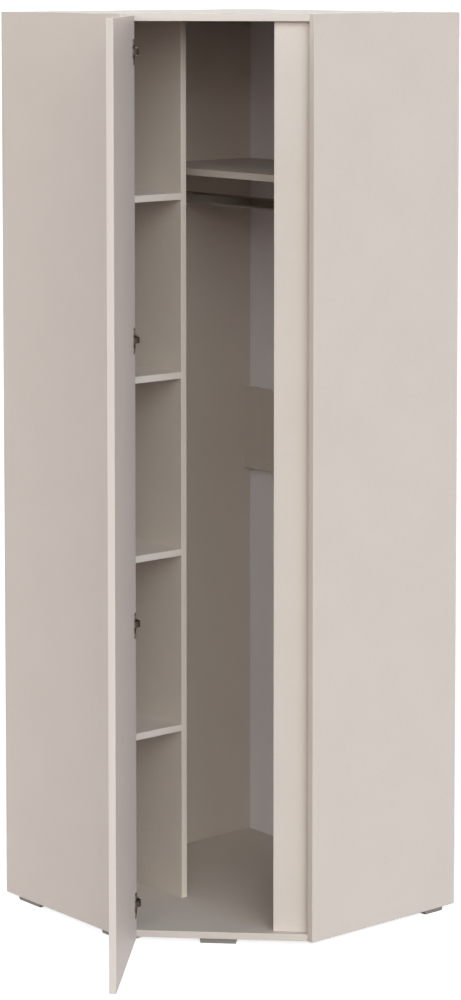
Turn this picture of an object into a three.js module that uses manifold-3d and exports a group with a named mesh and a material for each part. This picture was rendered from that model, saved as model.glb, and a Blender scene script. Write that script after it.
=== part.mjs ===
// A corner wardrobe with a diagonal front, one hinged door, a shelf wing and a hanging wing.
//
// Millimetres, +Z up. While it is built, the corner of the room is at X 0, Y 0 and the floor at Z 0. The right wall
// runs along +X and the left wall along -Y. At the end the whole part is moved so that its origin is the middle of
// its footprint, door open, on the floor.

import * as THREE from 'three';
import { mergeVertices } from 'three/addons/utils/BufferGeometryUtils.js';
import Module from 'manifold-3d';

const wasm = await Module();
wasm.setup();

// Driving sizes of the body
const wallRun = 758; // along each wall
const sideDepth = 452; // from the wall to the front edge of each side panel
const bodyHeight = 2106; // underside of the side panels to their top
const footHeight = 14;
const board = 16; // melamine-faced chipboard
const sheet = 3; // hardboard
const overrun = 2; // how far a cutting tool passes the face that it cuts
const seatGap = 0.3; // between pieces that rest on each other in a turned frame, or fit into each other

// Shelf wing on the left
const shelfCount = 4;
const shelfReach = 334; // from the back panel to the front edge of partition and shelves
const shelfBay = 241; // clear width between the left side panel and the partition

// Hanging wing on the right
const hatShelfGap = 110; // from the partition to the wide shelf's front edge
const hatShelfClear = 357; // clear height above the wide shelf
const railHeight = 206; // cross rail in the middle of the back
const sheetInset = 1; // back sheets end this far inside the body's edges
const sheetJoint = 1; // between the two back sheets, behind the cross rail

// Front stile, parallel to the front
const stileWidth = 97.5;
const stileSetback = 18;

// Door
const doorWidth = 378;
const doorReveal = 3; // left open above and below the door
const doorEdgeGap = 1.5; // from the inner corner of the left side panel to the door's hinge edge
const doorFaceGap = 2; // between the front of the body and the shut door
const doorOpen = Math.PI / 2; // how far the door stands open
const pivotAlong = 5.6; // hinge axis, measured along the front from the left side panel's inner corner
const pivotOut = 17; // hinge axis, measured outwards from the front

// Levels and places that follow
const floorLevel = footHeight;
const bottomTop = floorLevel + board;
const bodyTop = floorLevel + bodyHeight;
const topUnder = bodyTop - board;
const midLevel = floorLevel + bodyHeight / 2;
const sideInner = wallRun - board; // from either wall to the inner face of the side panel facing it
const frontWidth = (sideInner - sideDepth) * Math.SQRT2;
const frontAngle = Math.PI / 4;

// Materials, one for each piece
const finishes = {
  melamine: { color: '#d8d0c8', roughness: 0.55, metalness: 0 },
  hardboard: { color: '#e6e8ea', roughness: 0.6, metalness: 0 },
  steel: { color: '#b4b4b2', roughness: 0.35, metalness: 1 },
  darkSteel: { color: '#57514a', roughness: 0.55, metalness: 1 },
  chrome: { color: '#c6c4c0', roughness: 0.16, metalness: 1 },
  plastic: { color: '#8c8a84', roughness: 0.6, metalness: 0 },
};

const wardrobe = new THREE.Group();

function addPiece(name, geometry, finish, parent = wardrobe) {
  const piece = new THREE.Mesh(geometry, new THREE.MeshStandardMaterial(finishes[finish]));
  piece.name = name;
  parent.add(piece);
  return piece;
}

// A solid for joining and cutting, with its faces pointing out
function toSolid(geometry) {
  const bare = geometry.clone();
  bare.deleteAttribute('normal');
  bare.deleteAttribute('uv');
  const merged = mergeVertices(bare);
  const vertProperties = new Float32Array(merged.attributes.position.array);
  const triVerts = new Uint32Array(merged.index.array);
  let solid = new wasm.Manifold(new wasm.Mesh({ numProp: 3, vertProperties, triVerts }));
  if (solid.volume() < 0) {
    solid = new wasm.Manifold(new wasm.Mesh({ numProp: 3, vertProperties, triVerts: triVerts.reverse() }));
  }
  return solid;
}

function toGeometry(solid) {
  const { vertProperties, triVerts } = solid.getMesh();
  const geometry = new THREE.BufferGeometry();
  geometry.setAttribute('position', new THREE.BufferAttribute(vertProperties, 3));
  geometry.setIndex(new THREE.BufferAttribute(triVerts, 1));
  return geometry;
}

function join(geometries) {
  return toGeometry(geometries.map(toSolid).reduce((whole, piece) => whole.add(piece)));
}

function cut(geometry, tools) {
  return toGeometry(tools.map(toSolid).reduce((whole, tool) => whole.subtract(tool), toSolid(geometry)));
}

// A block from its lowest and highest places along X, Y and Z
function block([x0, x1], [y0, y1], [z0, z1]) {
  const geometry = new THREE.BoxGeometry(x1 - x0, y1 - y0, z1 - z0);
  return geometry.translate((x0 + x1) / 2, (y0 + y1) / 2, (z0 + z1) / 2);
}

// How an outline's two directions and its depth lie for a piece extruded along each axis
const extrudeBases = {
  x: new THREE.Matrix4().makeBasis(
    new THREE.Vector3(0, 1, 0), new THREE.Vector3(0, 0, 1), new THREE.Vector3(1, 0, 0)),
  y: new THREE.Matrix4().makeBasis(
    new THREE.Vector3(0, 0, 1), new THREE.Vector3(1, 0, 0), new THREE.Vector3(0, 1, 0)),
  z: new THREE.Matrix4(),
};

// An outline extruded from one level to another along an axis
function extrude(outline, [low, high], axis = 'z', curveSegments = 5) {
  const shape = outline instanceof THREE.Shape ? outline
    : new THREE.Shape(outline.map(([x, y]) => new THREE.Vector2(x, y)));
  const geometry = new THREE.ExtrudeGeometry(shape, { depth: high - low, bevelEnabled: false, curveSegments });
  return geometry.translate(0, 0, low).applyMatrix4(extrudeBases[axis]);
}

// A round rod along an axis, from one level to another
function roundRod(radius, [low, high], axis, sides = 16) {
  const geometry = new THREE.CylinderGeometry(radius, radius, high - low, sides);
  geometry.rotateX(Math.PI / 2).translate(0, 0, (low + high) / 2);
  return geometry.applyMatrix4(extrudeBases[axis]);
}

// An oval outline with straight sides: its full width and height
function ovalShape(width, height) {
  const radius = Math.min(width, height) / 2;
  const straight = Math.abs(height - width) / 2;
  const shape = new THREE.Shape();
  if (height > width) {
    shape.absarc(0, straight, radius, 0, Math.PI);
    shape.absarc(0, -straight, radius, Math.PI, Math.PI * 2);
  } else {
    shape.absarc(straight, 0, radius, -Math.PI / 2, Math.PI / 2);
    shape.absarc(-straight, 0, radius, Math.PI / 2, Math.PI * 1.5);
  }
  return shape;
}

// A rectangle with rounded corners
function roundedShape(width, height, radius) {
  const across = width / 2 - radius;
  const up = height / 2 - radius;
  const shape = new THREE.Shape();
  shape.absarc(across, -up, radius, -Math.PI / 2, 0);
  shape.absarc(across, up, radius, 0, Math.PI / 2);
  shape.absarc(-across, up, radius, Math.PI / 2, Math.PI);
  shape.absarc(-across, -up, radius, Math.PI, Math.PI * 1.5);
  return shape;
}

function repeat(count, make) {
  return Array.from({ length: count }, (_, index) => make(index));
}

// Screw: the shank runs down -Y from the seat at Y 0, and the domed head stands above it
function screwSolid({ shank, head, headRise, length }, sides = 10) {
  const crownShare = 0.6;
  const profile = [[0, -length], [shank, -length + shank], [shank, 0], [head, 0],
    [head * crownShare, headRise], [0, headRise]];
  return new THREE.LatheGeometry(profile.map(([r, y]) => new THREE.Vector2(r, y)), sides);
}

// Side panels, top, bottom and backs
addPiece('side_panel_left',
  block([0, sideDepth], [-wallRun, -sideInner], [floorLevel, bodyTop]), 'melamine');
addPiece('side_panel_right',
  block([sideInner, wallRun], [-sideDepth, -sheet], [floorLevel, bodyTop]), 'melamine');

const floorOutline = [[0, -sheet], [0, -sideInner], [sideDepth, -sideInner], [sideInner, -sideDepth],
  [sideInner, -sheet]];
addPiece('bottom_panel', extrude(floorOutline, [floorLevel, bottomTop]), 'melamine');
addPiece('top_panel', extrude(floorOutline, [topUnder, bodyTop]), 'melamine');
addPiece('back_panel', block([0, board], [-sideInner, -sheet], [bottomTop, topUnder]), 'melamine');

const sheetAcross = [sheetInset, wallRun - sheetInset];
addPiece('back_sheet_lower',
  block(sheetAcross, [-sheet, 0], [floorLevel + sheetInset, midLevel - sheetJoint / 2]), 'hardboard');
addPiece('back_sheet_upper',
  block(sheetAcross, [-sheet, 0], [midLevel + sheetJoint / 2, bodyTop - sheetInset]), 'hardboard');
addPiece('cross_rail', block([board, sideInner], [-sheet - board, -sheet],
  [midLevel - railHeight / 2, midLevel + railHeight / 2]), 'melamine');

// Partition and the shelves of the left wing, at equal spacing
const shelfAcross = [-sideInner, -sideInner + shelfBay];
const partitionAcross = [shelfAcross[1], shelfAcross[1] + board];
const shelfDeep = [board, board + shelfReach];
addPiece('partition', block(shelfDeep, partitionAcross, [bottomTop, topUnder]), 'melamine');

const bayHeight = (topUnder - bottomTop - shelfCount * board) / (shelfCount + 1);
repeat(shelfCount, (index) => {
  const under = bottomTop + bayHeight + index * (bayHeight + board);
  addPiece(`shelf_${index + 1}`, block(shelfDeep, shelfAcross, [under, under + board]), 'melamine');
});

// Wide shelf of the right wing
const hatShelfTop = topUnder - hatShelfClear;
addPiece('hanging_shelf',
  block([board, sideInner], [partitionAcross[1] + hatShelfGap, -sheet], [hatShelfTop - board, hatShelfTop]),
  'melamine');

// Oval hanging rod and its two sockets
const rodWidth = 15;
const rodHeight = 29;
const rodWall = 1;
const rodFromSheet = 237;
const rodDrop = 68; // shelf underside to the middle of the rod
const socketBase = 2;
const socketCollar = 10;
const socketWall = 1.6;
const socketPlateWidth = 24;
const socketPlateHeight = 62;
const socketScrewSpacing = 50;
const rodPlace = new THREE.Vector3(0, -sheet - rodFromSheet, hatShelfTop - board - rodDrop);

const rodEnds = [board + socketBase + seatGap, sideInner - socketBase - seatGap];
const rodBore = extrude(ovalShape(rodWidth - 2 * rodWall, rodHeight - 2 * rodWall),
  [rodEnds[0] - overrun, rodEnds[1] + overrun], 'x');
const rodTube = cut(extrude(ovalShape(rodWidth, rodHeight), rodEnds, 'x'), [rodBore]);
addPiece('hanging_rod', rodTube.translate(rodPlace.x, rodPlace.y, rodPlace.z), 'chrome');

const socketScrew = { shank: 1.6, head: 3, headRise: 1.2, length: 12 };
const socketScrewHeights = [-socketScrewSpacing / 2, socketScrewSpacing / 2];

// The socket stands on the plane X 0 and opens towards +X
function rodSocket() {
  const collarWidth = rodWidth + 2 * (seatGap + socketWall);
  const collarHeight = rodHeight + 2 * (seatGap + socketWall);
  const body = [
    extrude(ovalShape(socketPlateWidth, socketPlateHeight), [0, socketBase], 'x'),
    extrude(ovalShape(collarWidth, collarHeight), [0, socketBase + socketCollar], 'x'),
  ];
  const tools = [
    extrude(ovalShape(rodWidth + 2 * seatGap, rodHeight + 2 * seatGap),
      [socketBase, socketBase + socketCollar + overrun], 'x'),
    ...socketScrewHeights.map((height) => roundRod(socketScrew.shank + seatGap,
      [-overrun, socketBase + overrun], 'x', 10).translate(0, 0, height)),
  ];
  return cut(join(body), tools);
}

const socketLeft = new THREE.Matrix4().makeTranslation(board, rodPlace.y, rodPlace.z);
const socketRight = new THREE.Matrix4().makeTranslation(sideInner, rodPlace.y, rodPlace.z)
  .multiply(new THREE.Matrix4().makeRotationZ(Math.PI));
[['left', socketLeft], ['right', socketRight]].forEach(([side, placed]) => {
  addPiece(`rod_socket_${side}`, rodSocket().applyMatrix4(placed), 'chrome');
  socketScrewHeights.forEach((height, end) => {
    addPiece(`rod_socket_${side}_screw_${['lower', 'upper'][end]}`, screwSolid(socketScrew)
      .rotateZ(-Math.PI / 2).translate(socketBase, 0, height).applyMatrix4(placed), 'steel');
  });
});

// The front frame: X along the front from the left side panel's inner corner, Y inwards, so -Y is outwards
const front = new THREE.Group();
front.position.set(sideDepth, -sideInner, 0);
front.rotation.z = frontAngle;
wardrobe.add(front);

// Front stile: its right end is mitred to lie along the right side panel's inner face
const stileEnd = frontWidth + stileSetback - seatGap * Math.SQRT2;
const stileStart = frontWidth + stileSetback - stileWidth;
addPiece('front_stile', extrude([[stileStart, stileSetback], [stileEnd, stileSetback],
  [stileEnd + board, stileSetback + board], [stileStart, stileSetback + board]],
[bottomTop, topUnder]), 'melamine', front);

// Concealed hinges: sizes shared by door, cup, link, arm and plate
const hingeCount = 4;
const hingeInset = 81; // from the door's ends to the middle of the end hinges
const cupFromEdge = 22.5; // door edge to the middle of the cup
const cupRadius = 17.5;
const cupDepth = 12;
const cupWall = 1.2;
const flangeThick = 2;
const flangeRim = 1.2; // rim beyond the cup
const flangeWidth = 21;
const flangeHeight = 57;
const flangeCorner = 4;
const notchDepth = 1.3; // low place in the rim, towards the door's edge, where the link passes
const notchHalf = 7.5; // half its height along Z
const flangePlugSpacing = 46;
const plugRadius = 4; // press-in plugs that hold the cup in the door
const plugLength = 10;
const plugHead = 3.2;
const plugHeadRise = 0.8;
const pinRadius = 1.5;
const pinFromEdge = 17.8; // door edge to the cup's pin
const pinDepth = 5.6; // pin below the door's inner face
const cupSides = 24;
const plugSides = 8;
const pinSides = 10;

const doorLow = floorLevel + doorReveal;
const doorHigh = bodyTop - doorReveal;
const hingeSpacing = (doorHigh - doorLow - 2 * hingeInset) / (hingeCount - 1);
const hingeLevels = repeat(hingeCount, (index) => doorLow + hingeInset + index * hingeSpacing);

// The door turns about the hinge axis. Its own pieces are placed as if it were shut.
const doorSwing = new THREE.Group();
doorSwing.position.set(pivotAlong, -pivotOut, 0);
doorSwing.rotation.z = -doorOpen;
front.add(doorSwing);
const doorShut = new THREE.Group();
doorShut.position.set(-pivotAlong, pivotOut, 0);
doorSwing.add(doorShut);

const doorAcross = [doorEdgeGap, doorEdgeGap + doorWidth];
const doorThrough = [-doorFaceGap - board, -doorFaceGap];
const cupAlong = doorEdgeGap + cupFromEdge;
const cupPlugHeights = [-flangePlugSpacing / 2, flangePlugSpacing / 2];

const cupBores = hingeLevels.map((level) => roundRod(cupRadius,
  [-doorFaceGap - cupDepth - seatGap, -doorFaceGap + overrun], 'y', cupSides).translate(cupAlong, 0, level));
const plugBores = hingeLevels.flatMap((level) => cupPlugHeights.map((height) => roundRod(
  plugRadius + seatGap, [-doorFaceGap - plugLength - seatGap, -doorFaceGap + overrun], 'y', plugSides)
  .translate(cupAlong, 0, level + height)));
addPiece('door', cut(block(doorAcross, doorThrough, [doorLow, doorHigh]), [...cupBores, ...plugBores]),
  'melamine', doorShut);

// The cup is drawn with its middle on the Y axis and the door's inner face at Y 0
function hingeCup() {
  const outer = cupRadius - seatGap;
  const inner = outer - cupWall;
  const shell = [[0, -cupDepth], [outer, -cupDepth], [outer, flangeThick], [inner, flangeThick],
    [inner, -cupDepth + cupWall], [0, -cupDepth + cupWall]];
  const bowl = new THREE.LatheGeometry(shell.map(([r, y]) => new THREE.Vector2(r, y)), cupSides);
  const mouth = roundRod(inner, [-overrun, flangeThick + overrun], 'y', cupSides);
  const notch = block([-cupRadius - flangeRim - overrun, 0], [flangeThick - notchDepth, flangeThick + overrun],
    [-notchHalf, notchHalf]);
  const flange = cut(join([
    roundRod(cupRadius + flangeRim, [0, flangeThick], 'y', cupSides),
    extrude(roundedShape(flangeHeight, flangeWidth, flangeCorner), [0, flangeThick], 'y'),
  ]), [mouth, notch]);
  const plugs = cupPlugHeights.flatMap((height) => [
    roundRod(plugRadius, [-plugLength, flangeThick / 2], 'y', plugSides).translate(0, 0, height),
    roundRod(plugHead, [flangeThick / 2, flangeThick + plugHeadRise], 'y', plugSides).translate(0, 0, height),
  ]);
  const pinOffset = pinFromEdge - cupFromEdge;
  const pinHalf = Math.sqrt(inner ** 2 - pinOffset ** 2) + cupWall / 2;
  const pin = roundRod(pinRadius, [-pinHalf, pinHalf], 'z', pinSides).translate(pinOffset, -pinDepth, 0);
  return join([cut(bowl, [notch]), flange, pin, ...plugs]);
}

const cupShape = hingeCup();
hingeLevels.forEach((level, index) => {
  addPiece(`hinge_cup_${index + 1}`, cupShape.clone().translate(cupAlong, -doorFaceGap, level), 'steel', doorShut);
});

// Arm: a stamped channel along the left side panel's inner face. X runs forwards from the panel's front edge and
// Y away from its inner face. The channel opens towards the panel and at its nose.
const armHalf = 9; // half the arm's height along Z
const armMetal = 1.5;
const armRear = 58;
const armFoot = 2.3; // gap between the panel's face and the cheeks
const armLowTop = 11;
const armHighTop = 20;
const armRampRear = 36;
const armRampFront = 24;
const armCheekBreak = 14;
const armForkRear = 18; // the nose is a fork that is open above the link, from here forwards
const armNoseFoot = 8;
const armNoseTop = 17;
const armScrew = { shank: 2.2, head: 3.4, headRise: 1.6, length: 8 };
const armScrewBack = 46; // panel's front edge to the arm's screw
const armPivotAhead = 11.5; // link pivot ahead of the panel's front edge
const armPivotOff = 15.2; // link pivot away from the panel's inner face
const rivetRadius = 2.6;
const rivetRise = 0.8;
const rivetSides = 10;

// Link: a curved stamped channel from the cup's pin over the door's edge to the arm's nose
const linkHalf = 6.5; // half its height along Z
const linkMetal = 1.3;
const linkHalfWidth = 3;
const linkBow = [38, 17]; // the curve's control point: along the front, and outwards
const linkSteps = 8;
const linkEndSides = 12;
const eyeClearance = 0.3;

function hingeArm() {
  const outline = [[-armRear, armFoot], [-armCheekBreak, armFoot], [-armFoot, armNoseFoot],
    [armNoseFoot, armNoseFoot], [armNoseTop, armNoseTop], [armNoseTop, armHighTop], [-armRampFront, armHighTop],
    [-armRampRear, armLowTop], [-armRear, armLowTop]];
  const pocket = [[-armRear - overrun, -overrun], [armNoseTop + overrun, -overrun],
    [armNoseTop + overrun, armHighTop + overrun], [-armForkRear, armHighTop + overrun],
    [-armForkRear, armHighTop - armMetal], [-armRampFront + armMetal / 2, armHighTop - armMetal],
    [-armRampRear + armMetal / 2, armLowTop - armMetal], [-armRear - overrun, armLowTop - armMetal]];
  const inside = armHalf - armMetal;
  const channel = cut(extrude(outline, [-armHalf, armHalf]), [
    extrude(pocket, [-inside, inside]),
    roundRod(armScrew.shank + seatGap, [armLowTop - armMetal - overrun, armLowTop + overrun], 'y', 10)
      .translate(-armScrewBack, 0, 0),
  ]);
  const rivets = [-1, 1].map((side) => {
    const ends = [linkHalf + seatGap, armHalf + rivetRise].map((end) => side * end).sort((a, b) => a - b);
    return roundRod(rivetRadius, ends, 'z', rivetSides).translate(armPivotAhead, armPivotOff, 0);
  });
  return join([channel, ...rivets]);
}

// Mounting plate: two wings screwed to the side panel, and a raised bar that the arm straddles
const plateSetback = 37; // panel's front edge to the plate's screws
const wingWidth = 13;
const wingHeight = 48;
const wingThick = 2;
const wingScrewSpacing = 32;
const plateScrew = { shank: 2.2, head: 4, headRise: 1.6, length: 12 };
const plateScrewHeights = [-wingScrewSpacing / 2, wingScrewSpacing / 2];
const barFront = 21;
const barRear = 56;

function hingePlate() {
  const barHalf = armHalf - armMetal - seatGap;
  const barTop = armLowTop - armMetal - seatGap;
  const wings = extrude(ovalShape(wingHeight, wingWidth), [0, wingThick], 'y').translate(-plateSetback, 0, 0);
  const bar = block([-barRear, -barFront], [0, barTop], [-barHalf, barHalf]);
  return cut(join([wings, bar]), [
    ...plateScrewHeights.map((height) => roundRod(plateScrew.shank + seatGap, [-overrun, wingThick + overrun],
      'y', 10).translate(-plateSetback, 0, height)),
    roundRod(armScrew.shank + seatGap, [barTop - armScrew.length, barTop + overrun], 'y', 10)
      .translate(-armScrewBack, 0, 0),
  ]);
}

const armShape = hingeArm();
const plateShape = hingePlate();
hingeLevels.forEach((level, index) => {
  addPiece(`hinge_arm_${index + 1}`, armShape.clone().translate(sideDepth, -sideInner, level), 'steel');
  addPiece(`hinge_plate_${index + 1}`, plateShape.clone().translate(sideDepth, -sideInner, level), 'steel');
  addPiece(`hinge_arm_screw_${index + 1}`, screwSolid(armScrew)
    .translate(sideDepth - armScrewBack, -sideInner + armLowTop, level), 'steel');
  plateScrewHeights.forEach((height, end) => {
    addPiece(`hinge_plate_${index + 1}_screw_${['lower', 'upper'][end]}`, screwSolid(plateScrew)
      .translate(sideDepth - plateSetback, -sideInner + wingThick, level + height), 'steel');
  });
});

// A place on the shut door, in the front frame, after the door has opened
function afterOpening([along, out]) {
  const [x, y] = [along - pivotAlong, out - pivotOut];
  return [pivotAlong + x * Math.cos(doorOpen) - y * Math.sin(doorOpen),
    pivotOut + x * Math.sin(doorOpen) + y * Math.cos(doorOpen)];
}

function hingeLink() {
  const pinPlace = afterOpening([doorEdgeGap + pinFromEdge, doorFaceGap + pinDepth]);
  const armPlace = [(armPivotAhead + armPivotOff) / Math.SQRT2, (armPivotAhead - armPivotOff) / Math.SQRT2];
  const toFront = ([along, out]) => new THREE.Vector2(along, -out);
  const spine = new THREE.QuadraticBezierCurve(toFront(armPlace), toFront(linkBow), toFront(pinPlace));
  const across = (share, offset) => {
    const tangent = spine.getTangent(share);
    const place = spine.getPoint(share);
    return [place.x - tangent.y * offset, place.y + tangent.x * offset];
  };
  const shares = repeat(linkSteps + 1, (index) => index / linkSteps);
  const band = (inside, outside) => [...shares.map((share) => across(share, inside)),
    ...shares.toReversed().map((share) => across(share, outside))];
  const [pinX, pinY] = [pinPlace[0], -pinPlace[1]];
  const [tipX, tipY] = [armPlace[0], -armPlace[1]];
  const body = join([
    extrude(band(-linkHalfWidth, linkHalfWidth), [-linkHalf, linkHalf]),
    roundRod(linkHalfWidth, [-linkHalf, linkHalf], 'z', linkEndSides).translate(pinX, pinY, 0),
    roundRod(linkHalfWidth, [-linkHalf, linkHalf], 'z', linkEndSides).translate(tipX, tipY, 0),
  ]);
  const inside = linkHalf - linkMetal;
  const channel = extrude(band(-linkHalfWidth - overrun, linkHalfWidth - linkMetal), [-inside, inside]);
  return cut(body, [
    channel,
    roundRod(linkHalfWidth + seatGap, [-inside, inside], 'z', linkEndSides).translate(pinX, pinY, 0),
    roundRod(pinRadius + eyeClearance, [-linkHalf - overrun, linkHalf + overrun], 'z', pinSides)
      .translate(pinX, pinY, 0),
  ]);
}

const linkShape = hingeLink();
hingeLevels.forEach((level, index) => {
  addPiece(`hinge_link_${index + 1}`, linkShape.clone().translate(0, 0, level), 'darkSteel', front);
});

// Holes in the boards for the screws of plates and sockets are cut after the boards are made
function drill(name, tools) {
  const piece = wardrobe.getObjectByName(name);
  piece.geometry = cut(piece.geometry, tools);
}

drill('side_panel_left', hingeLevels.flatMap((level) => plateScrewHeights.map((height) => roundRod(
  plateScrew.shank + seatGap, [-sideInner + wingThick - plateScrew.length - seatGap, -sideInner + overrun], 'y', 8)
  .translate(sideDepth - plateSetback, 0, level + height))));

function drillForSocket(name, placed) {
  drill(name, socketScrewHeights.map((height) => roundRod(socketScrew.shank + seatGap,
    [socketBase - socketScrew.length - seatGap, overrun], 'x', 8).translate(0, 0, height).applyMatrix4(placed)));
}
drillForSocket('back_panel', socketLeft);
drillForSocket('side_panel_right', socketRight);

// Glides: flat plastic blocks with sloping sides and two countersunk screw holes
const footLength = 86; // at the top
const footWidth = 58;
const footTaper = 2;
const footHoleSpacing = 52;
const footHoleRadius = 2.4;
const footHeadRadius = 5;
const footHeadDepth = 8; // from the floor up to the screw heads' seats
const footHoleSides = 12;
const footInset = 11; // from the panels' outer faces
const footFrontInset = 9; // behind front edges
const footRearSetback = 33; // glides at the left, from the rear edge of the left side panel
const footWallSetback = 27.5; // glides at the right wall, from the back sheets' face

// The glide hangs from Z footHeight down to the floor, with one corner at X 0, Y 0
function footSolid(length, width) {
  const profile = [[0, footHeight], [footTaper, 0], [length - footTaper, 0], [length, footHeight]];
  const along = extrude(profile.map(([x, z]) => [z, x]), [0, width], 'y');
  const sides = [[0, footHeight], [footTaper, 0], [width - footTaper, 0], [width, footHeight]];
  const plain = toGeometry(toSolid(along).intersect(toSolid(extrude(sides, [0, length], 'x'))));
  const holePlaces = [-footHoleSpacing / 2, footHoleSpacing / 2].map((place) => length / 2 + place);
  return cut(plain, holePlaces.flatMap((place) => [
    roundRod(footHoleRadius, [-overrun, footHeight + overrun], 'z', footHoleSides).translate(place, width / 2, 0),
    roundRod(footHeadRadius, [-overrun, footHeadDepth], 'z', footHoleSides).translate(place, width / 2, 0),
  ]));
}

const lengthwise = () => footSolid(footLength, footWidth);
addPiece('foot_left_rear',
  lengthwise().translate(footRearSetback, -wallRun + footInset, 0), 'plastic');
addPiece('foot_left_front',
  lengthwise().translate(sideDepth - footFrontInset - footLength, -wallRun + footInset, 0), 'plastic');
addPiece('foot_right_rear',
  lengthwise().translate(wallRun - footInset - footLength, -footWallSetback - footWidth, 0), 'plastic');
addPiece('foot_back_corner',
  lengthwise().translate(footRearSetback, -footWallSetback - footWidth, 0), 'plastic');
addPiece('foot_front',
  lengthwise().translate(frontWidth / 2 - footLength / 2, footFrontInset, 0), 'plastic', front);

// The origin is the middle of the footprint on the floor
wardrobe.updateMatrixWorld(true);
const extent = new THREE.Box3().setFromObject(wardrobe, true);
const middle = extent.getCenter(new THREE.Vector3());
wardrobe.position.set(-middle.x, -middle.y, -extent.min.z);

export default wardrobe;
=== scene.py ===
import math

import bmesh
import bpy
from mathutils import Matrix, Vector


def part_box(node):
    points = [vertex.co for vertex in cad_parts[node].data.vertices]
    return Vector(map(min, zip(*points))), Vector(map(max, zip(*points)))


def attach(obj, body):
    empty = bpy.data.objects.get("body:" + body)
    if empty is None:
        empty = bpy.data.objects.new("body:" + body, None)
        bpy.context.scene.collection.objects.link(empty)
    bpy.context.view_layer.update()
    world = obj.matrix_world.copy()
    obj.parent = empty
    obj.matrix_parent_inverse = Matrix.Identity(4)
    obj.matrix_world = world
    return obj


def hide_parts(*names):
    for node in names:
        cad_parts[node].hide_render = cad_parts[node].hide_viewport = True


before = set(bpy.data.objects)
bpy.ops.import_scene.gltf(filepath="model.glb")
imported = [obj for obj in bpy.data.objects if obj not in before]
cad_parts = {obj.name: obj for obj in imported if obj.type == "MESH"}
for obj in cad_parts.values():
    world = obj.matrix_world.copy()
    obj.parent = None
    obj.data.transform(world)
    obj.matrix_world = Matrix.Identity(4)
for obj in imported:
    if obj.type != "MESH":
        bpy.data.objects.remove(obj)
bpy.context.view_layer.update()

# Corner wardrobe with a diagonal front: finishes, small fittings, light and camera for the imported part.
#
# Metres, in the part's own frame: the middle of the footprint on the floor, +Z up. The room's corner is at
# low X and high Y, the hanging wing runs along +X, the shelf wing along -Y, and the diagonal front faces +X
# and -Y.

MM = 0.001
HINGES = range(1, 5)
SHELVES = range(1, 5)


# Materials

# Sockets of a Mix node that blends two colours
MIX_SHARE = 0
MIX_FIRST = 6
MIX_SECOND = 7
MIX_RESULT = 2


def linear(hex_colour):
    """An sRGB hex colour as linear red, green and blue, with full alpha."""
    shares = [int(hex_colour[i:i + 2], 16) / 255 for i in (1, 3, 5)]
    return [s / 12.92 if s <= 0.04045 else ((s + 0.055) / 1.055) ** 2.4 for s in shares] + [1.0]


def add(material, kind, settings=None, links=None):
    """Adds a node. Settings fill its inputs or properties by name or number, and links feed its inputs."""
    node = material.node_tree.nodes.new(kind)
    for name, value in (settings or {}).items():
        if isinstance(name, str) and name not in node.inputs:
            setattr(node, name, value)
    for name, value in (settings or {}).items():
        if not isinstance(name, str) or name in node.inputs:
            node.inputs[name].default_value = value
    for name, output in (links or {}).items():
        material.node_tree.links.new(output, node.inputs[name])
    return node


def new_material(name, settings):
    """A material whose shader has these settings. Gives it, its shader, and the place on the piece."""
    material = bpy.data.materials.new(name)
    material.use_nodes = True
    shader = material.node_tree.nodes["Principled BSDF"]
    for socket, value in settings.items():
        shader.inputs[socket].default_value = value
    place = add(material, "ShaderNodeTexCoord").outputs["Object"]
    return material, shader, place


def feed(material, shader, **outputs):
    """Links outputs to the shader's sockets; a socket's name has an underscore for each space."""
    for name, output in outputs.items():
        material.node_tree.links.new(output, shader.inputs[name.replace("_", " ")])


# Pressed melamine is satin, even in colour, and has a fine pearl grain that breaks up its reflections. The
# real grain is 0.4 mm, and its print is cloudy over a hand's width. The grain is drawn at 2.5 mm so that it
# shows.
PEARL = 2.5 * MM
CLOUD = 140 * MM
CLOUD_WEIGHT = 0.5


def melamine_faced_chipboard():
    material, shader, place = new_material(
        "melamine_faced_chipboard_pearl", {"IOR": 1.5, "Specular IOR Level": 0.4})
    cloud = add(material, "ShaderNodeTexNoise", {"Scale": 1 / CLOUD, "Detail": 4.0}, {"Vector": place})
    pearl = add(material, "ShaderNodeTexNoise", {"Scale": 1 / PEARL, "Detail": 2.0}, {"Vector": place})
    print_tone = add(material, "ShaderNodeMath", {"operation": "MULTIPLY_ADD", 1: CLOUD_WEIGHT},
                     {0: cloud.outputs["Fac"], 2: pearl.outputs["Fac"]})
    spread = add(material, "ShaderNodeMapRange", {"From Min": 0.45, "From Max": 1.05},
                 {"Value": print_tone.outputs[0]})
    colour = add(material, "ShaderNodeMix",
                 {"data_type": "RGBA", MIX_FIRST: linear("#d9d0c8"), MIX_SECOND: linear("#d3c9c0")},
                 {MIX_SHARE: spread.outputs[0]})
    gloss = add(material, "ShaderNodeMapRange",
                {"From Min": 0.3, "From Max": 0.7, "To Min": 0.44, "To Max": 0.56},
                {"Value": pearl.outputs["Fac"]})
    relief = add(material, "ShaderNodeBump", {"Strength": 0.5, "Distance": 0.03 * MM},
                 {"Height": pearl.outputs["Fac"]})
    feed(material, shader, Base_Color=colour.outputs[MIX_RESULT], Roughness=gloss.outputs[0],
         Normal=relief.outputs[0])
    return material


# Calendered ABS banding has an even, soft sheen like the board's face, with faint drawn lines along upright
# edges.
DRAWN_LINE = 1.2 * MM
DRAWN_STRETCH = 0.02


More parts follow.
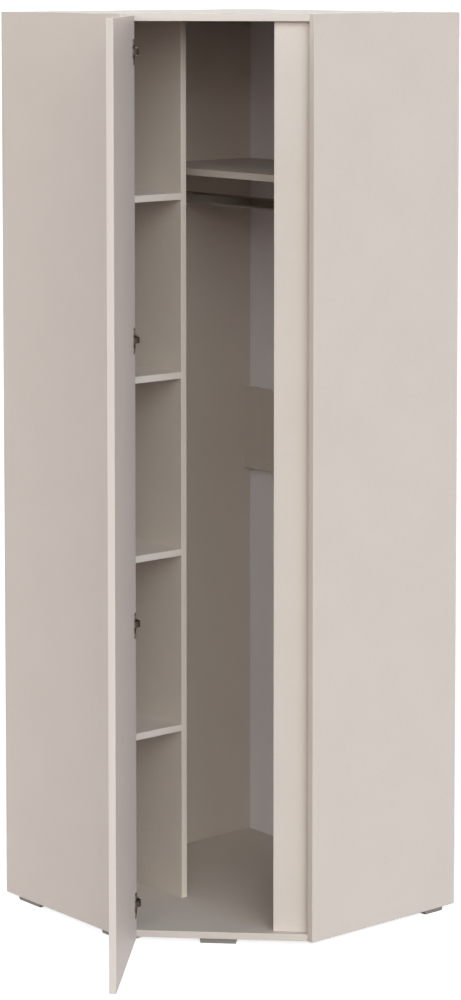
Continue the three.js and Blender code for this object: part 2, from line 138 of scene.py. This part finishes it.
def abs_edge_banding():
    material, shader, place = new_material(
        "abs_edge_banding_calendered", {"IOR": 1.52, "Specular IOR Level": 0.2})
    drawn = add(material, "ShaderNodeMapping", {"Scale": (1.0, 1.0, DRAWN_STRETCH)}, {"Vector": place})
    lines = add(material, "ShaderNodeTexNoise", {"Scale": 1 / DRAWN_LINE, "Detail": 1.0},
                {"Vector": drawn.outputs[0]})
    colour = add(material, "ShaderNodeMix",
                 {"data_type": "RGBA", MIX_FIRST: linear("#dad1c8"), MIX_SECOND: linear("#d6cdc4")},
                 {MIX_SHARE: lines.outputs["Fac"]})
    gloss = add(material, "ShaderNodeMapRange", {"To Min": 0.46, "To Max": 0.54},
                {"Value": lines.outputs["Fac"]})
    feed(material, shader, Base_Color=colour.outputs[MIX_RESULT], Roughness=gloss.outputs[0])
    return material


# A sawn chipboard edge shows brown flakes 2 to 4 mm long and is rough and matt.
FLAKE = 3 * MM


def raw_chipboard_edge():
    material, shader, place = new_material("raw_chipboard_sawn", {"Roughness": 0.85, "IOR": 1.45})
    flakes = add(material, "ShaderNodeTexVoronoi", {"Scale": 1 / FLAKE, "Randomness": 1.0}, {"Vector": place})
    tone = add(material, "ShaderNodeValToRGB", {}, {"Fac": flakes.outputs["Color"]})
    tone.color_ramp.elements[0].color = linear("#7d5f40")
    tone.color_ramp.elements[1].color = linear("#c39d70")
    relief = add(material, "ShaderNodeBump", {"Strength": 0.6, "Distance": 0.2 * MM},
                 {"Height": flakes.outputs["Distance"]})
    feed(material, shader, Base_Color=tone.outputs["Color"], Normal=relief.outputs[0])
    return material


# Roller-coated hardboard is off-white and satin, with a shallow orange peel about 1.5 mm across.
PEEL = 1.5 * MM


def lacquered_hardboard():
    material, shader, place = new_material("lacquered_hardboard_roller_coated", {"IOR": 1.48})
    peel = add(material, "ShaderNodeTexNoise", {"Scale": 1 / PEEL, "Detail": 1.0}, {"Vector": place})
    cloud = add(material, "ShaderNodeTexNoise", {"Scale": 1 / CLOUD, "Detail": 3.0}, {"Vector": place})
    colour = add(material, "ShaderNodeMix",
                 {"data_type": "RGBA", MIX_FIRST: linear("#f2f0f6"), MIX_SECOND: linear("#edebf1")},
                 {MIX_SHARE: cloud.outputs["Fac"]})
    gloss = add(material, "ShaderNodeMapRange", {"To Min": 0.42, "To Max": 0.55},
                {"Value": peel.outputs["Fac"]})
    relief = add(material, "ShaderNodeBump", {"Strength": 0.3, "Distance": 0.04 * MM},
                 {"Height": peel.outputs["Fac"]})
    feed(material, shader, Base_Color=colour.outputs[MIX_RESULT], Roughness=gloss.outputs[0],
         Normal=relief.outputs[0])
    return material


# The back of hardboard is brown felted fibre with the print of the press screen. Its wires are 1.4 mm apart
# and are drawn 3 mm apart so that they show.
SCREEN = 3 * MM
WAVE_AT_SCALE_1 = 0.32  # how far apart the bands of a wave texture are, about, when its scale is 1
FIBRE = 6 * MM


def screen_backed_hardboard():
    material, shader, place = new_material("hardboard_back_screen_pressed", {"Roughness": 0.8, "IOR": 1.45})
    along = add(material, "ShaderNodeTexWave",
                {"bands_direction": "X", "Scale": WAVE_AT_SCALE_1 / SCREEN}, {"Vector": place})
    up = add(material, "ShaderNodeTexWave",
             {"bands_direction": "Z", "Scale": WAVE_AT_SCALE_1 / SCREEN}, {"Vector": place})
    screen = add(material, "ShaderNodeMath", {"operation": "MULTIPLY"},
                 {0: along.outputs["Fac"], 1: up.outputs["Fac"]})
    fibre = add(material, "ShaderNodeTexNoise", {"Scale": 1 / FIBRE, "Detail": 6.0, "Roughness": 0.7},
                {"Vector": place})
    colour = add(material, "ShaderNodeMix",
                 {"data_type": "RGBA", MIX_FIRST: linear("#7b5d42"), MIX_SECOND: linear("#9a7a57")},
                 {MIX_SHARE: fibre.outputs["Fac"]})
    relief = add(material, "ShaderNodeBump", {"Strength": 0.5, "Distance": 0.15 * MM},
                 {"Height": screen.outputs[0]})
    feed(material, shader, Base_Color=colour.outputs[MIX_RESULT], Normal=relief.outputs[0])
    return material


# Satin nickel over pressed steel: a soft, slightly warm grey metal with faint streaks left by the tool. Seen
# along its surface it stays grey, so its glow there is tinted down. The cups get a darker, browner copy of
# the same nickel: painted shade, standing in for the dim look of the cup flanges on the door.
STREAK = 4 * MM
STREAK_STRETCH = 0.15


def nickel_plated_steel(name, clear, cloudy, glow):
    material, shader, place = new_material(name, {"Metallic": 1.0, "Specular Tint": linear(glow)})
    stretched = add(material, "ShaderNodeMapping", {"Scale": (1.0, 1.0, STREAK_STRETCH)}, {"Vector": place})
    streak = add(material, "ShaderNodeTexNoise", {"Scale": 1 / STREAK, "Detail": 3.0},
                 {"Vector": stretched.outputs[0]})
    colour = add(material, "ShaderNodeMix",
                 {"data_type": "RGBA", MIX_FIRST: linear(clear), MIX_SECOND: linear(cloudy)},
                 {MIX_SHARE: streak.outputs["Fac"]})
    gloss = add(material, "ShaderNodeMapRange", {"To Min": 0.38, "To Max": 0.52},
                {"Value": streak.outputs["Fac"]})
    feed(material, shader, Base_Color=colour.outputs[MIX_RESULT], Roughness=gloss.outputs[0])
    return material


# The levers are nearly black steel with a dull gleam: the black is painted shade, standing in for the shade
# they sit in inside the hinge.
def shaded_lever_steel():
    material, shader, place = new_material("shaded_lever_steel", {"Metallic": 1.0})
    bloom = add(material, "ShaderNodeTexNoise", {"Scale": 1 / STREAK, "Detail": 3.0}, {"Vector": place})
    colour = add(material, "ShaderNodeMix",
                 {"data_type": "RGBA", MIX_FIRST: linear("#5e574e"), MIX_SECOND: linear("#4c463e")},
                 {MIX_SHARE: bloom.outputs["Fac"]})
    gloss = add(material, "ShaderNodeMapRange", {"To Min": 0.5, "To Max": 0.65},
                {"Value": bloom.outputs["Fac"]})
    feed(material, shader, Base_Color=colour.outputs[MIX_RESULT], Roughness=gloss.outputs[0])
    return material


# Zinc plate on screws, cams and pins is cooler and cloudier than nickel.
def zinc_plated_steel():
    material, shader, place = new_material("zinc_plated_steel", {"Metallic": 1.0})
    bloom = add(material, "ShaderNodeTexNoise", {"Scale": 1 / STREAK, "Detail": 2.0}, {"Vector": place})
    colour = add(material, "ShaderNodeMix",
                 {"data_type": "RGBA", MIX_FIRST: linear("#bfc2c6"), MIX_SECOND: linear("#a3a7ab")},
                 {MIX_SHARE: bloom.outputs["Fac"]})
    gloss = add(material, "ShaderNodeMapRange", {"To Min": 0.3, "To Max": 0.5},
                {"Value": bloom.outputs["Fac"]})
    feed(material, shader, Base_Color=colour.outputs[MIX_RESULT], Roughness=gloss.outputs[0])
    return material


# Chrome over the drawn steel tube mirrors the dim inside of the wardrobe, a little blurred along the draw
# marks.
DRAW_MARK = 1.2 * MM
MARK_STRETCH = 0.02


def chrome_plated_tube():
    material, shader, place = new_material("chrome_plated_drawn_tube", {"Metallic": 1.0})
    drawn = add(material, "ShaderNodeMapping", {"Scale": (MARK_STRETCH, 1.0, 1.0)}, {"Vector": place})
    marks = add(material, "ShaderNodeTexNoise", {"Scale": 1 / DRAW_MARK, "Detail": 2.0},
                {"Vector": drawn.outputs[0]})
    colour = add(material, "ShaderNodeMix",
                 {"data_type": "RGBA", MIX_FIRST: linear("#b3afaa"), MIX_SECOND: linear("#a8a49f")},
                 {MIX_SHARE: marks.outputs["Fac"]})
    gloss = add(material, "ShaderNodeMapRange", {"To Min": 0.07, "To Max": 0.12},
                {"Value": marks.outputs["Fac"]})
    feed(material, shader, Base_Color=colour.outputs[MIX_RESULT], Roughness=gloss.outputs[0])
    return material


# Moulded polypropylene glides are grey and matt from a spark-eroded mould. Their grain is 0.3 mm and is
# drawn at 1.5 mm so that it shows.
MOULD_GRAIN = 1.5 * MM


def moulded_polypropylene():
    material, shader, place = new_material("polypropylene_moulded_grained", {"IOR": 1.49})
    grain = add(material, "ShaderNodeTexNoise", {"Scale": 1 / MOULD_GRAIN, "Detail": 2.0}, {"Vector": place})
    colour = add(material, "ShaderNodeMix",
                 {"data_type": "RGBA", MIX_FIRST: linear("#8f8a84"), MIX_SECOND: linear("#85807b")},
                 {MIX_SHARE: grain.outputs["Fac"]})
    gloss = add(material, "ShaderNodeMapRange", {"To Min": 0.5, "To Max": 0.68},
                {"Value": grain.outputs["Fac"]})
    relief = add(material, "ShaderNodeBump", {"Strength": 0.4, "Distance": 0.05 * MM},
                 {"Height": grain.outputs["Fac"]})
    feed(material, shader, Base_Color=colour.outputs[MIX_RESULT], Roughness=gloss.outputs[0],
         Normal=relief.outputs[0])
    return material


# The floor is white acrylic, matt and lit from below, so that it shows nearly white with a soft shadow on it.
# It is cloudy over half a metre.
FLOOR_CLOUD = 500 * MM


def backlit_acrylic():
    material, shader, place = new_material("acrylic_opal_backlit", {
        "Roughness": 0.95, "Specular IOR Level": 0.1,
        "Emission Color": linear("#ffffff"), "Emission Strength": 0.75})
    cloud = add(material, "ShaderNodeTexNoise", {"Scale": 1 / FLOOR_CLOUD, "Detail": 2.0}, {"Vector": place})
    colour = add(material, "ShaderNodeMix",
                 {"data_type": "RGBA", MIX_FIRST: linear("#faf9f7"), MIX_SECOND: linear("#f8f7f5")},
                 {MIX_SHARE: cloud.outputs["Fac"]})
    feed(material, shader, Base_Color=colour.outputs[MIX_RESULT])
    return material


melamine = melamine_faced_chipboard()
banding = abs_edge_banding()
raw_edge = raw_chipboard_edge()
white_hardboard = lacquered_hardboard()
brown_hardboard = screen_backed_hardboard()
nickel = nickel_plated_steel("nickel_plated_pressed_steel", "#b9b5ae", "#a6a29a", "#bcbab6")
# The cups' nickel is a darker copy of the arms' nickel: painted shade for their dim look on the door.
cup_nickel_painted_shade = nickel_plated_steel("nickel_plated_steel_painted_shade", "#8f8677", "#7f7668", "#908778")
# The levers' near-black steel is painted shade.
lever_steel_painted_dark = shaded_lever_steel()
zinc = zinc_plated_steel()
chrome = chrome_plated_tube()
glide_plastic = moulded_polypropylene()


# Pieces

WELD = 0.005 * MM
FLAT_WITHIN = math.radians(0.5)
WIDE_FACE = 6 * MM
SAME_WAY = 0.9999  # the cosine above which two faces point the same way


def copy_of(node):
    """A CAD node's shape, with its doubled points merged and its flat faces joined."""
    shape = bmesh.new()
    shape.from_mesh(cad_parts[node].data)
    bmesh.ops.remove_doubles(shape, verts=shape.verts, dist=WELD)
    bmesh.ops.dissolve_limit(shape, angle_limit=FLAT_WITHIN, verts=shape.verts, edges=shape.edges)
    return shape


def off_flats(shape):
    """Tells for each face whether it points another way than all of the shape's wide, flat faces."""
    shape.normal_update()
    flats = []
    for face in shape.faces:
        wide = face.calc_area() > WIDE_FACE * max(edge.calc_length() for edge in face.edges)
        if wide and all(face.normal.dot(flat) < SAME_WAY for flat in flats):
            flats.append(face.normal.copy())
    return [all(face.normal.dot(flat) < SAME_WAY for flat in flats) for face in shape.faces]


def add_piece(name, shape, materials, body, stands_for=(), smooth_below=50):
    """Makes a piece from a bmesh that is already in place, and lets it ride on a body."""
    rounded = off_flats(shape)
    data = bpy.data.meshes.new(name)
    shape.to_mesh(data)
    shape.free()
    for material in materials:
        data.materials.append(material)
    data.set_sharp_from_angle(angle=math.radians(smooth_below))
    data.polygons.foreach_set("use_smooth", rounded)
    piece = bpy.data.objects.new(name, data)
    bpy.context.scene.collection.objects.link(piece)
    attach(piece, body)
    if stands_for:
        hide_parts(*stands_for)
    return piece


# Boards: eased edges 0.6 mm round, banding on their narrow faces, and sawn chipboard where an edge of a side,
# the top or the bottom faces the left-hand wall
EASED = 0.6 * MM
LONG_EDGE = 12 * MM
SHARP = math.radians(25)
TO_LEFT_WALL = Vector((-1, 0, 0))
BOARD_FACE, BANDED_EDGE, SAWN_EDGE = range(3)
FACES_ALONG = 0.5  # the cosine above which a face belongs to the board's two broad sides
FACES_WALL = 0.9


def ease_edges(shape):
    """Rounds the long, sharp outward edges."""
    sharp = [edge for edge in shape.edges if edge.is_manifold and edge.is_convex
             and edge.calc_face_angle() > SHARP and edge.calc_length() > LONG_EDGE]
    bmesh.ops.bevel(shape, geom=sharp, offset=EASED, offset_type="OFFSET", segments=2, profile=0.5,
                    affect="EDGES", material=-1, clamp_overlap=True)


def eased_board(node, body="cabinet", sawn_to_wall=False):
    shape = copy_of(node)
    ease_edges(shape)
    shape.normal_update()
    through = max(shape.faces, key=lambda face: face.calc_area()).normal.copy()
    for face in shape.faces:
        face.material_index = BOARD_FACE if abs(face.normal.dot(through)) > FACES_ALONG else BANDED_EDGE
        if sawn_to_wall and face.normal.dot(TO_LEFT_WALL) > FACES_WALL:
            face.material_index = SAWN_EDGE
    add_piece("board_" + node, shape, [melamine, banding, raw_edge], body, [node])


for node in ("side_panel_left", "top_panel", "bottom_panel"):
    eased_board(node, sawn_to_wall=True)
for node in ("side_panel_right", "back_panel", "cross_rail", "partition",
             "shelf_1", "shelf_2", "shelf_3", "shelf_4", "hanging_shelf", "front_stile"):
    eased_board(node)
eased_board("door", body="door")

# Back sheets: white towards the inside, brown towards the wall, held by pins driven just below the surface
PIN_SPACING = 150 * MM
PIN_EDGE = 8 * MM
PIN_HEAD = 1.8 * MM
PIN_SIDES = 10
PIN_DIMPLE = 2.4 * MM
DIMPLE_SIDES = 12
PIN_DEPTH = 0.7 * MM
PIN_THICKNESS = PIN_DEPTH * 0.7
WHITE_SIDE, BROWN_SIDE = range(2)
FACES_BACK = 0.5


def row_of(low, high, spacing):
    """Evenly spaced places from low to high, about a spacing apart."""
    count = max(1, round((high - low) / spacing))
    return [low + (high - low) * step / count for step in range(count + 1)]


def pin_places(node):
    """Where a back sheet is pinned to the boards around it, as X and Z: along its four edges."""
    low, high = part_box(node)
    upright = row_of(low.z + PIN_EDGE * 2, high.z - PIN_EDGE * 2, PIN_SPACING)
    across = row_of(low.x + PIN_EDGE * 2, high.x - PIN_EDGE * 2, PIN_SPACING)
    places = [(x, z) for x in (low.x + PIN_EDGE, high.x - PIN_EDGE) for z in upright]
    return places + [(x, z) for x in across for z in (low.z + PIN_EDGE, high.z - PIN_EDGE)]


def disc(radius, depth, sides):
    """A closed round plate from Z 0 up to a height."""
    shape = bmesh.new()
    bmesh.ops.create_cone(shape, cap_ends=True, segments=sides, radius1=radius, radius2=radius, depth=depth,
                          matrix=Matrix.Translation((0, 0, depth / 2)))
    return shape


def placed_copies(template, places):
    """One shape made of copies of a template, each moved by its own matrix. The template is used up."""
    whole = bmesh.new()
    for place in places:
        data = bpy.data.meshes.new("copy")
        template.to_mesh(data)
        data.transform(place)
        whole.from_mesh(data)
        bpy.data.meshes.remove(data)
    template.free()
    return whole


def carved(shape, cutter):
    """The shape less the cutter. Both are used up."""
    pair = []
    for part in (shape, cutter):
        data = bpy.data.meshes.new("part")
        part.to_mesh(data)
        part.free()
        pair.append(bpy.data.objects.new("part", data))
        bpy.context.scene.collection.objects.link(pair[-1])
    cut = pair[0].modifiers.new("cut", "BOOLEAN")
    cut.operation = "DIFFERENCE"
    cut.solver = "EXACT"
    cut.object = pair[1]
    result = bmesh.new()
    result.from_object(pair[0], bpy.context.evaluated_depsgraph_get())
    for part in pair:
        bpy.data.meshes.remove(part.data)
    return result


def pinned_sheet(node):
    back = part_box(node)[1].y
    out = Matrix.Rotation(-math.pi / 2, 4, "X")  # +Z of the template becomes +Y
    places = [Matrix.Translation((x, back - PIN_DEPTH, z)) @ out for x, z in pin_places(node)]
    dimples = placed_copies(disc(PIN_DIMPLE, PIN_DEPTH * 2, DIMPLE_SIDES), places)
    shape = carved(copy_of(node), dimples)
    for face in shape.faces:
        face.material_index = WHITE_SIDE if face.normal.y < FACES_BACK else BROWN_SIDE
    add_piece("sheet_" + node, shape, [white_hardboard, brown_hardboard], "cabinet", [node])
    pins = placed_copies(disc(PIN_HEAD, PIN_THICKNESS, PIN_SIDES), places)
    add_piece("pins_" + node, pins, [zinc], "cabinet")


pinned_sheet("back_sheet_lower")
pinned_sheet("back_sheet_upper")

# Fittings of pressed steel, tube and moulded plastic: the CAD shapes with softened edges
DRAWN_EASE = 0.25 * MM
STAMPED_EASE = 0.3 * MM
TUBE_EASE = 0.2 * MM
MOULDED_EASE = 0.8 * MM


def softened(name, node, material, body, ease):
    piece = add_piece(name, copy_of(node), [material], body, [node], smooth_below=35)
    soften = piece.modifiers.new("soften", "BEVEL")
    soften.width = ease
    soften.segments = 2
    soften.limit_method = "ANGLE"
    soften.angle_limit = math.radians(40)


for i in HINGES:
    softened(f"cup_{i}", f"hinge_cup_{i}", cup_nickel_painted_shade, "door", DRAWN_EASE)
    softened(f"arm_{i}", f"hinge_arm_{i}", nickel, "cabinet", STAMPED_EASE)
    softened(f"plate_{i}", f"hinge_plate_{i}", nickel, "cabinet", STAMPED_EASE)
    softened(f"link_{i}", f"hinge_link_{i}", lever_steel_painted_dark, "hinge_links", STAMPED_EASE)
for side in ("left", "right"):
    softened(f"socket_{side}", f"rod_socket_{side}", chrome, "cabinet", STAMPED_EASE)
softened("oval_rod", "hanging_rod", chrome, "cabinet", TUBE_EASE)
for place in ("left_rear", "left_front", "right_rear", "back_corner", "front"):
    softened("glide_" + place, "foot_" + place, glide_plastic, "cabinet", MOULDED_EASE)

# Screws with domed heads and cross recesses
CROSS_WIDTH = 0.9 * MM
CROSS_DEPTH = 1.1 * MM
CROSS_REACH = 1.25  # the length of the recess, in radii of the head
DOME = ((1.0, 0.3), (0.86, 0.72), (0.5, 1.0))  # shares of the head's radius and rise, from its rim inwards
TIP = 2  # the length of the tip, in radii of the shank
SCREW_SIDES = 20


def cross_cut(shape, top, length, width, depth):
    """The shape with a cross slot cut into its upper face, which is at height top."""
    for turn in (0, math.pi / 2):
        slot = bmesh.new()
        place = Matrix.Translation((0, 0, top)) @ Matrix.Rotation(turn, 4, "Z")
        size = Matrix.Diagonal((length, width, depth * 2, 1))
        bmesh.ops.create_cube(slot, size=1, matrix=place @ size)
        shape = carved(shape, slot)
    return shape


def screw(head, rise, shank, length):
    """A screw along Z with its head's seat at Z 0. Head and shank are radii, rise is the head's height."""
    profile = [(0, -length), (shank, -length + shank * TIP), (shank, 0), (head, 0)]
    profile += [(head * across, rise * up) for across, up in DOME]
    profile.append((0, rise))
    shape = bmesh.new()
    points = [shape.verts.new((x, 0, z)) for x, z in profile]
    edges = [shape.edges.new(pair) for pair in zip(points, points[1:])]
    bmesh.ops.spin(shape, geom=points + edges, axis=(0, 0, 1), cent=(0, 0, 0), angle=math.tau,
                   steps=SCREW_SIDES, use_merge=True)
    bmesh.ops.remove_doubles(shape, verts=shape.verts, dist=WELD)
    bmesh.ops.recalc_face_normals(shape, faces=shape.faces)
    return cross_cut(shape, rise, head * CROSS_REACH, CROSS_WIDTH, CROSS_DEPTH)


def set_screw(name, node, towards, sizes):
    """Puts a screw where a CAD screw is. Towards is the way its head points."""
    low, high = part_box(node)
    seat = (low + high) / 2 + towards * ((sizes["length"] - sizes["rise"]) / 2)
    place = Matrix.Translation(seat) @ towards.to_track_quat("Z", "Y").to_matrix().to_4x4()
    shape = placed_copies(screw(**sizes), [place])
    add_piece(name, shape, [zinc], "cabinet", [node], smooth_below=40)


PLATE_SCREW = {"head": 4 * MM, "rise": 1.6 * MM, "shank": 2.2 * MM, "length": 12 * MM}
ARM_SCREW = {"head": 3.4 * MM, "rise": 1.6 * MM, "shank": 2.2 * MM, "length": 8 * MM}
SOCKET_SCREW = {"head": 3 * MM, "rise": 1.2 * MM, "shank": 1.6 * MM, "length": 12 * MM}
INTO_ROOM = Vector((0, 1, 0))
for i in HINGES:
    set_screw(f"arm_screw_{i}", f"hinge_arm_screw_{i}", INTO_ROOM, ARM_SCREW)
    for end in ("lower", "upper"):
        set_screw(f"plate_screw_{i}_{end}", f"hinge_plate_{i}_screw_{end}", INTO_ROOM, PLATE_SCREW)
for side, towards in (("left", Vector((1, 0, 0))), ("right", Vector((-1, 0, 0)))):
    for end in ("lower", "upper"):
        set_screw(f"socket_screw_{side}_{end}", f"rod_socket_{side}_screw_{end}", towards, SOCKET_SCREW)

# The heads of the plugs that hold each cup: they stand where the CAD shape has its two highest faces
PLUG_HEAD = {"head": 3.6 * MM, "rise": 1.1 * MM, "shank": 0.5 * MM, "length": 1.5 * MM}
PLUG_SEAT = 0.8 * MM  # below those faces
PLUG_LEVEL = 0.1 * MM  # how far those faces may differ in height
OFF_DOOR = Vector((1, 1, 0)).normalized()


def plug_heads(i):
    cup = copy_of(f"hinge_cup_{i}")
    height = {face: face.calc_center_median().dot(OFF_DOOR) for face in cup.faces}
    top = max(height.values())
    turn = OFF_DOOR.to_track_quat("Z", "Y").to_matrix().to_4x4()
    seats = [Matrix.Translation(face.calc_center_median() - OFF_DOOR * PLUG_SEAT) @ turn
             for face in cup.faces if height[face] > top - PLUG_LEVEL]
    cup.free()
    add_piece(f"plug_heads_{i}", placed_copies(screw(**PLUG_HEAD), seats), [cup_nickel_painted_shade], "door")


for i in HINGES:
    plug_heads(i)

# Glide screws: their heads sit up in the glides' bores and show only from below
GLIDE_SCREW = {"head": 4.2 * MM, "rise": 1.8 * MM, "shank": 2 * MM, "length": 14 * MM}
GLIDE_SEAT = 8 * MM
GLIDE_SPACING = 52 * MM
ALONG_WALL = Vector((1, 0, 0))
ALONG_FRONT = Vector((1, 1, 0)).normalized()
DOWN = Matrix.Rotation(math.pi, 4, "X")


def glide_screws(place, along):
    low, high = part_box("foot_" + place)
    middle = (low + high) / 2
    seats = []
    for step in (-GLIDE_SPACING / 2, GLIDE_SPACING / 2):
        hole = middle + along * step
        seats.append(Matrix.Translation((hole.x, hole.y, GLIDE_SEAT)) @ DOWN)
    heads = placed_copies(screw(**GLIDE_SCREW), seats)
    add_piece("glide_screws_" + place, heads, [zinc], "cabinet", smooth_below=40)


for place in ("left_rear", "left_front", "right_rear", "back_corner"):
    glide_screws(place, ALONG_WALL)
glide_screws("front", ALONG_FRONT)

# Cam fittings: die-cast discs in the undersides of the boards, 34 mm from the joints that they pull tight
CAM_RADIUS = 7.5 * MM
CAM_PROUD = 0.3 * MM
CAM_SIDES = 28
CAM_SLOT_WIDTH = 1.6 * MM
CAM_SLOT_REACH = 1.2  # the length of the slot, in radii of the cam
CAM_BACK = 34 * MM
FIRST_CAM = 50 * MM
SECOND_CAM = 380 * MM


def cam():
    """A cam's visible end: a disc that stands a little proud of Z 0, with a cross slot down to Z 0."""
    shape = disc(CAM_RADIUS, CAM_PROUD * 2, CAM_SIDES)
    bmesh.ops.translate(shape, verts=shape.verts, vec=(0, 0, -CAM_PROUD))
    return cross_cut(shape, CAM_PROUD, CAM_RADIUS * CAM_SLOT_REACH, CAM_SLOT_WIDTH, CAM_PROUD)


def cams_under(node, corners):
    """Cams in the underside of a level board. A corner is an X end, how far in, a Y end and how far in."""
    low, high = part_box(node)
    places = []
    for x_end, x_in, y_end, y_in in corners:
        x = low.x + x_in if x_end == "low" else high.x - x_in
        y = low.y + y_in if y_end == "low" else high.y - y_in
        places.append(Matrix.Translation((x, y, low.z)) @ DOWN)
    add_piece("cams_" + node, placed_copies(cam(), places), [zinc], "cabinet")


four_corners = [(x_end, y_end) for x_end in ("low", "high") for y_end in ("low", "high")]
for i in SHELVES:
    cams_under(f"shelf_{i}", [(x_end, FIRST_CAM, y_end, CAM_BACK) for x_end, y_end in four_corners])
cams_under("hanging_shelf", [(x_end, CAM_BACK, y_end, FIRST_CAM) for x_end, y_end in four_corners])
side_cams = [("low", FIRST_CAM, "low", CAM_BACK), ("low", SECOND_CAM, "low", CAM_BACK),
             ("high", CAM_BACK, "high", FIRST_CAM), ("high", CAM_BACK, "high", SECOND_CAM)]
cams_under("top_panel", side_cams)
cams_under("bottom_panel", side_cams)

# Floor, light and camera

FLOOR_REACH = 500  # metres each way, so that its end is out of sight
floor_shape = bmesh.new()
bmesh.ops.create_grid(floor_shape, x_segments=1, y_segments=1, size=FLOOR_REACH)
floor_data = bpy.data.meshes.new("floor")
floor_shape.to_mesh(floor_data)
floor_shape.free()
floor_data.materials.append(backlit_acrylic())
floor = bpy.data.objects.new("floor", floor_data)
bpy.context.scene.collection.objects.link(floor)
floor.visible_diffuse = False  # it shows white and takes shadows, but throws no light up at the wardrobe

# All round the room a low, warm band of light reaches from the horizon up to about 14 degrees. The room is
# dark above and below it. On the ramp, straight down is at 0, the horizon at 0.5 and straight up at 1.
HORIZON = 0.5
BAND_TOP = 0.625
FADE_BELOW = 0.005
FADE_ABOVE = 0.01
BAND_STRENGTH = 2.11
BAND_COLOUR = linear("#ffe9d8")
DARK = linear("#000000")
world = bpy.data.worlds.new("studio_room")
bpy.context.scene.world = world
world.use_nodes = True
background = world.node_tree.nodes["Background"]
background.inputs["Strength"].default_value = BAND_STRENGTH
direction = add(world, "ShaderNodeTexCoord")
height = add(world, "ShaderNodeSeparateXYZ", {}, {0: direction.outputs["Generated"]})
level = add(world, "ShaderNodeMapRange", {"From Min": -1.0, "From Max": 1.0}, {"Value": height.outputs["Z"]})
band = add(world, "ShaderNodeValToRGB", {}, {"Fac": level.outputs[0]})
stops = band.color_ramp.elements
stops[0].position = HORIZON - FADE_BELOW
stops[0].color = DARK
stops[1].position = HORIZON
stops[1].color = BAND_COLOUR
stops.new(BAND_TOP).color = BAND_COLOUR
stops.new(BAND_TOP + FADE_ABOVE).color = DARK
world.node_tree.links.new(band.outputs["Color"], background.inputs["Color"])

# Five far, wide lights add to the band: a key light from the camera's side, two from its right, a cool one
# from its left and a low one from behind.
LIGHT_SPREAD = math.radians(40)


def wide_light(name, azimuth, height, colour, strength):
    """A far, wide light. Azimuth runs from +X towards +Y and height up from the floor, both in degrees."""
    data = bpy.data.lights.new(name, "SUN")
    data.angle = LIGHT_SPREAD
    data.color = linear(colour)[:3]
    data.energy = strength
    light = bpy.data.objects.new(name, data)
    around = math.radians(azimuth)
    up = math.radians(height)
    towards = Vector((math.cos(around) * math.cos(up), math.sin(around) * math.cos(up), math.sin(up)))
    light.rotation_euler = towards.to_track_quat("Z", "Y").to_euler()
    bpy.context.scene.collection.objects.link(light)


wide_light("key_light", -38, 30, "#fbfffa", 1.02)
wide_light("front_light", -12, 20, "#f4fffe", 0.85)
wide_light("right_light", 10, 20, "#bbd1ff", 0.69)
wide_light("left_light", -95, 20, "#dbebff", 1.03)
wide_light("back_light", 142, 15, "#f6feff", 0.74)

# The camera stands at the photo's viewing angle and looks slightly down, with its frame shifted down as well.
CAMERA_PLACE = Vector((5.3082, -4.3470, 2.2231))
CAMERA_LOOK = Vector((-0.76160, 0.64273, -0.08284))
CAMERA_LENS = 107.243
CAMERA_SHIFT = -0.285
camera_data = bpy.data.cameras.new("camera")
camera_data.lens = CAMERA_LENS
camera_data.shift_y = CAMERA_SHIFT
camera = bpy.data.objects.new("camera", camera_data)
camera.location = CAMERA_PLACE
camera.rotation_euler = CAMERA_LOOK.to_track_quat("-Z", "Y").to_euler()
bpy.context.scene.collection.objects.link(camera)
bpy.context.scene.camera = camera

bpy.context.scene.view_settings.view_transform = "Standard"
bpy.context.scene.view_settings.look = "None"
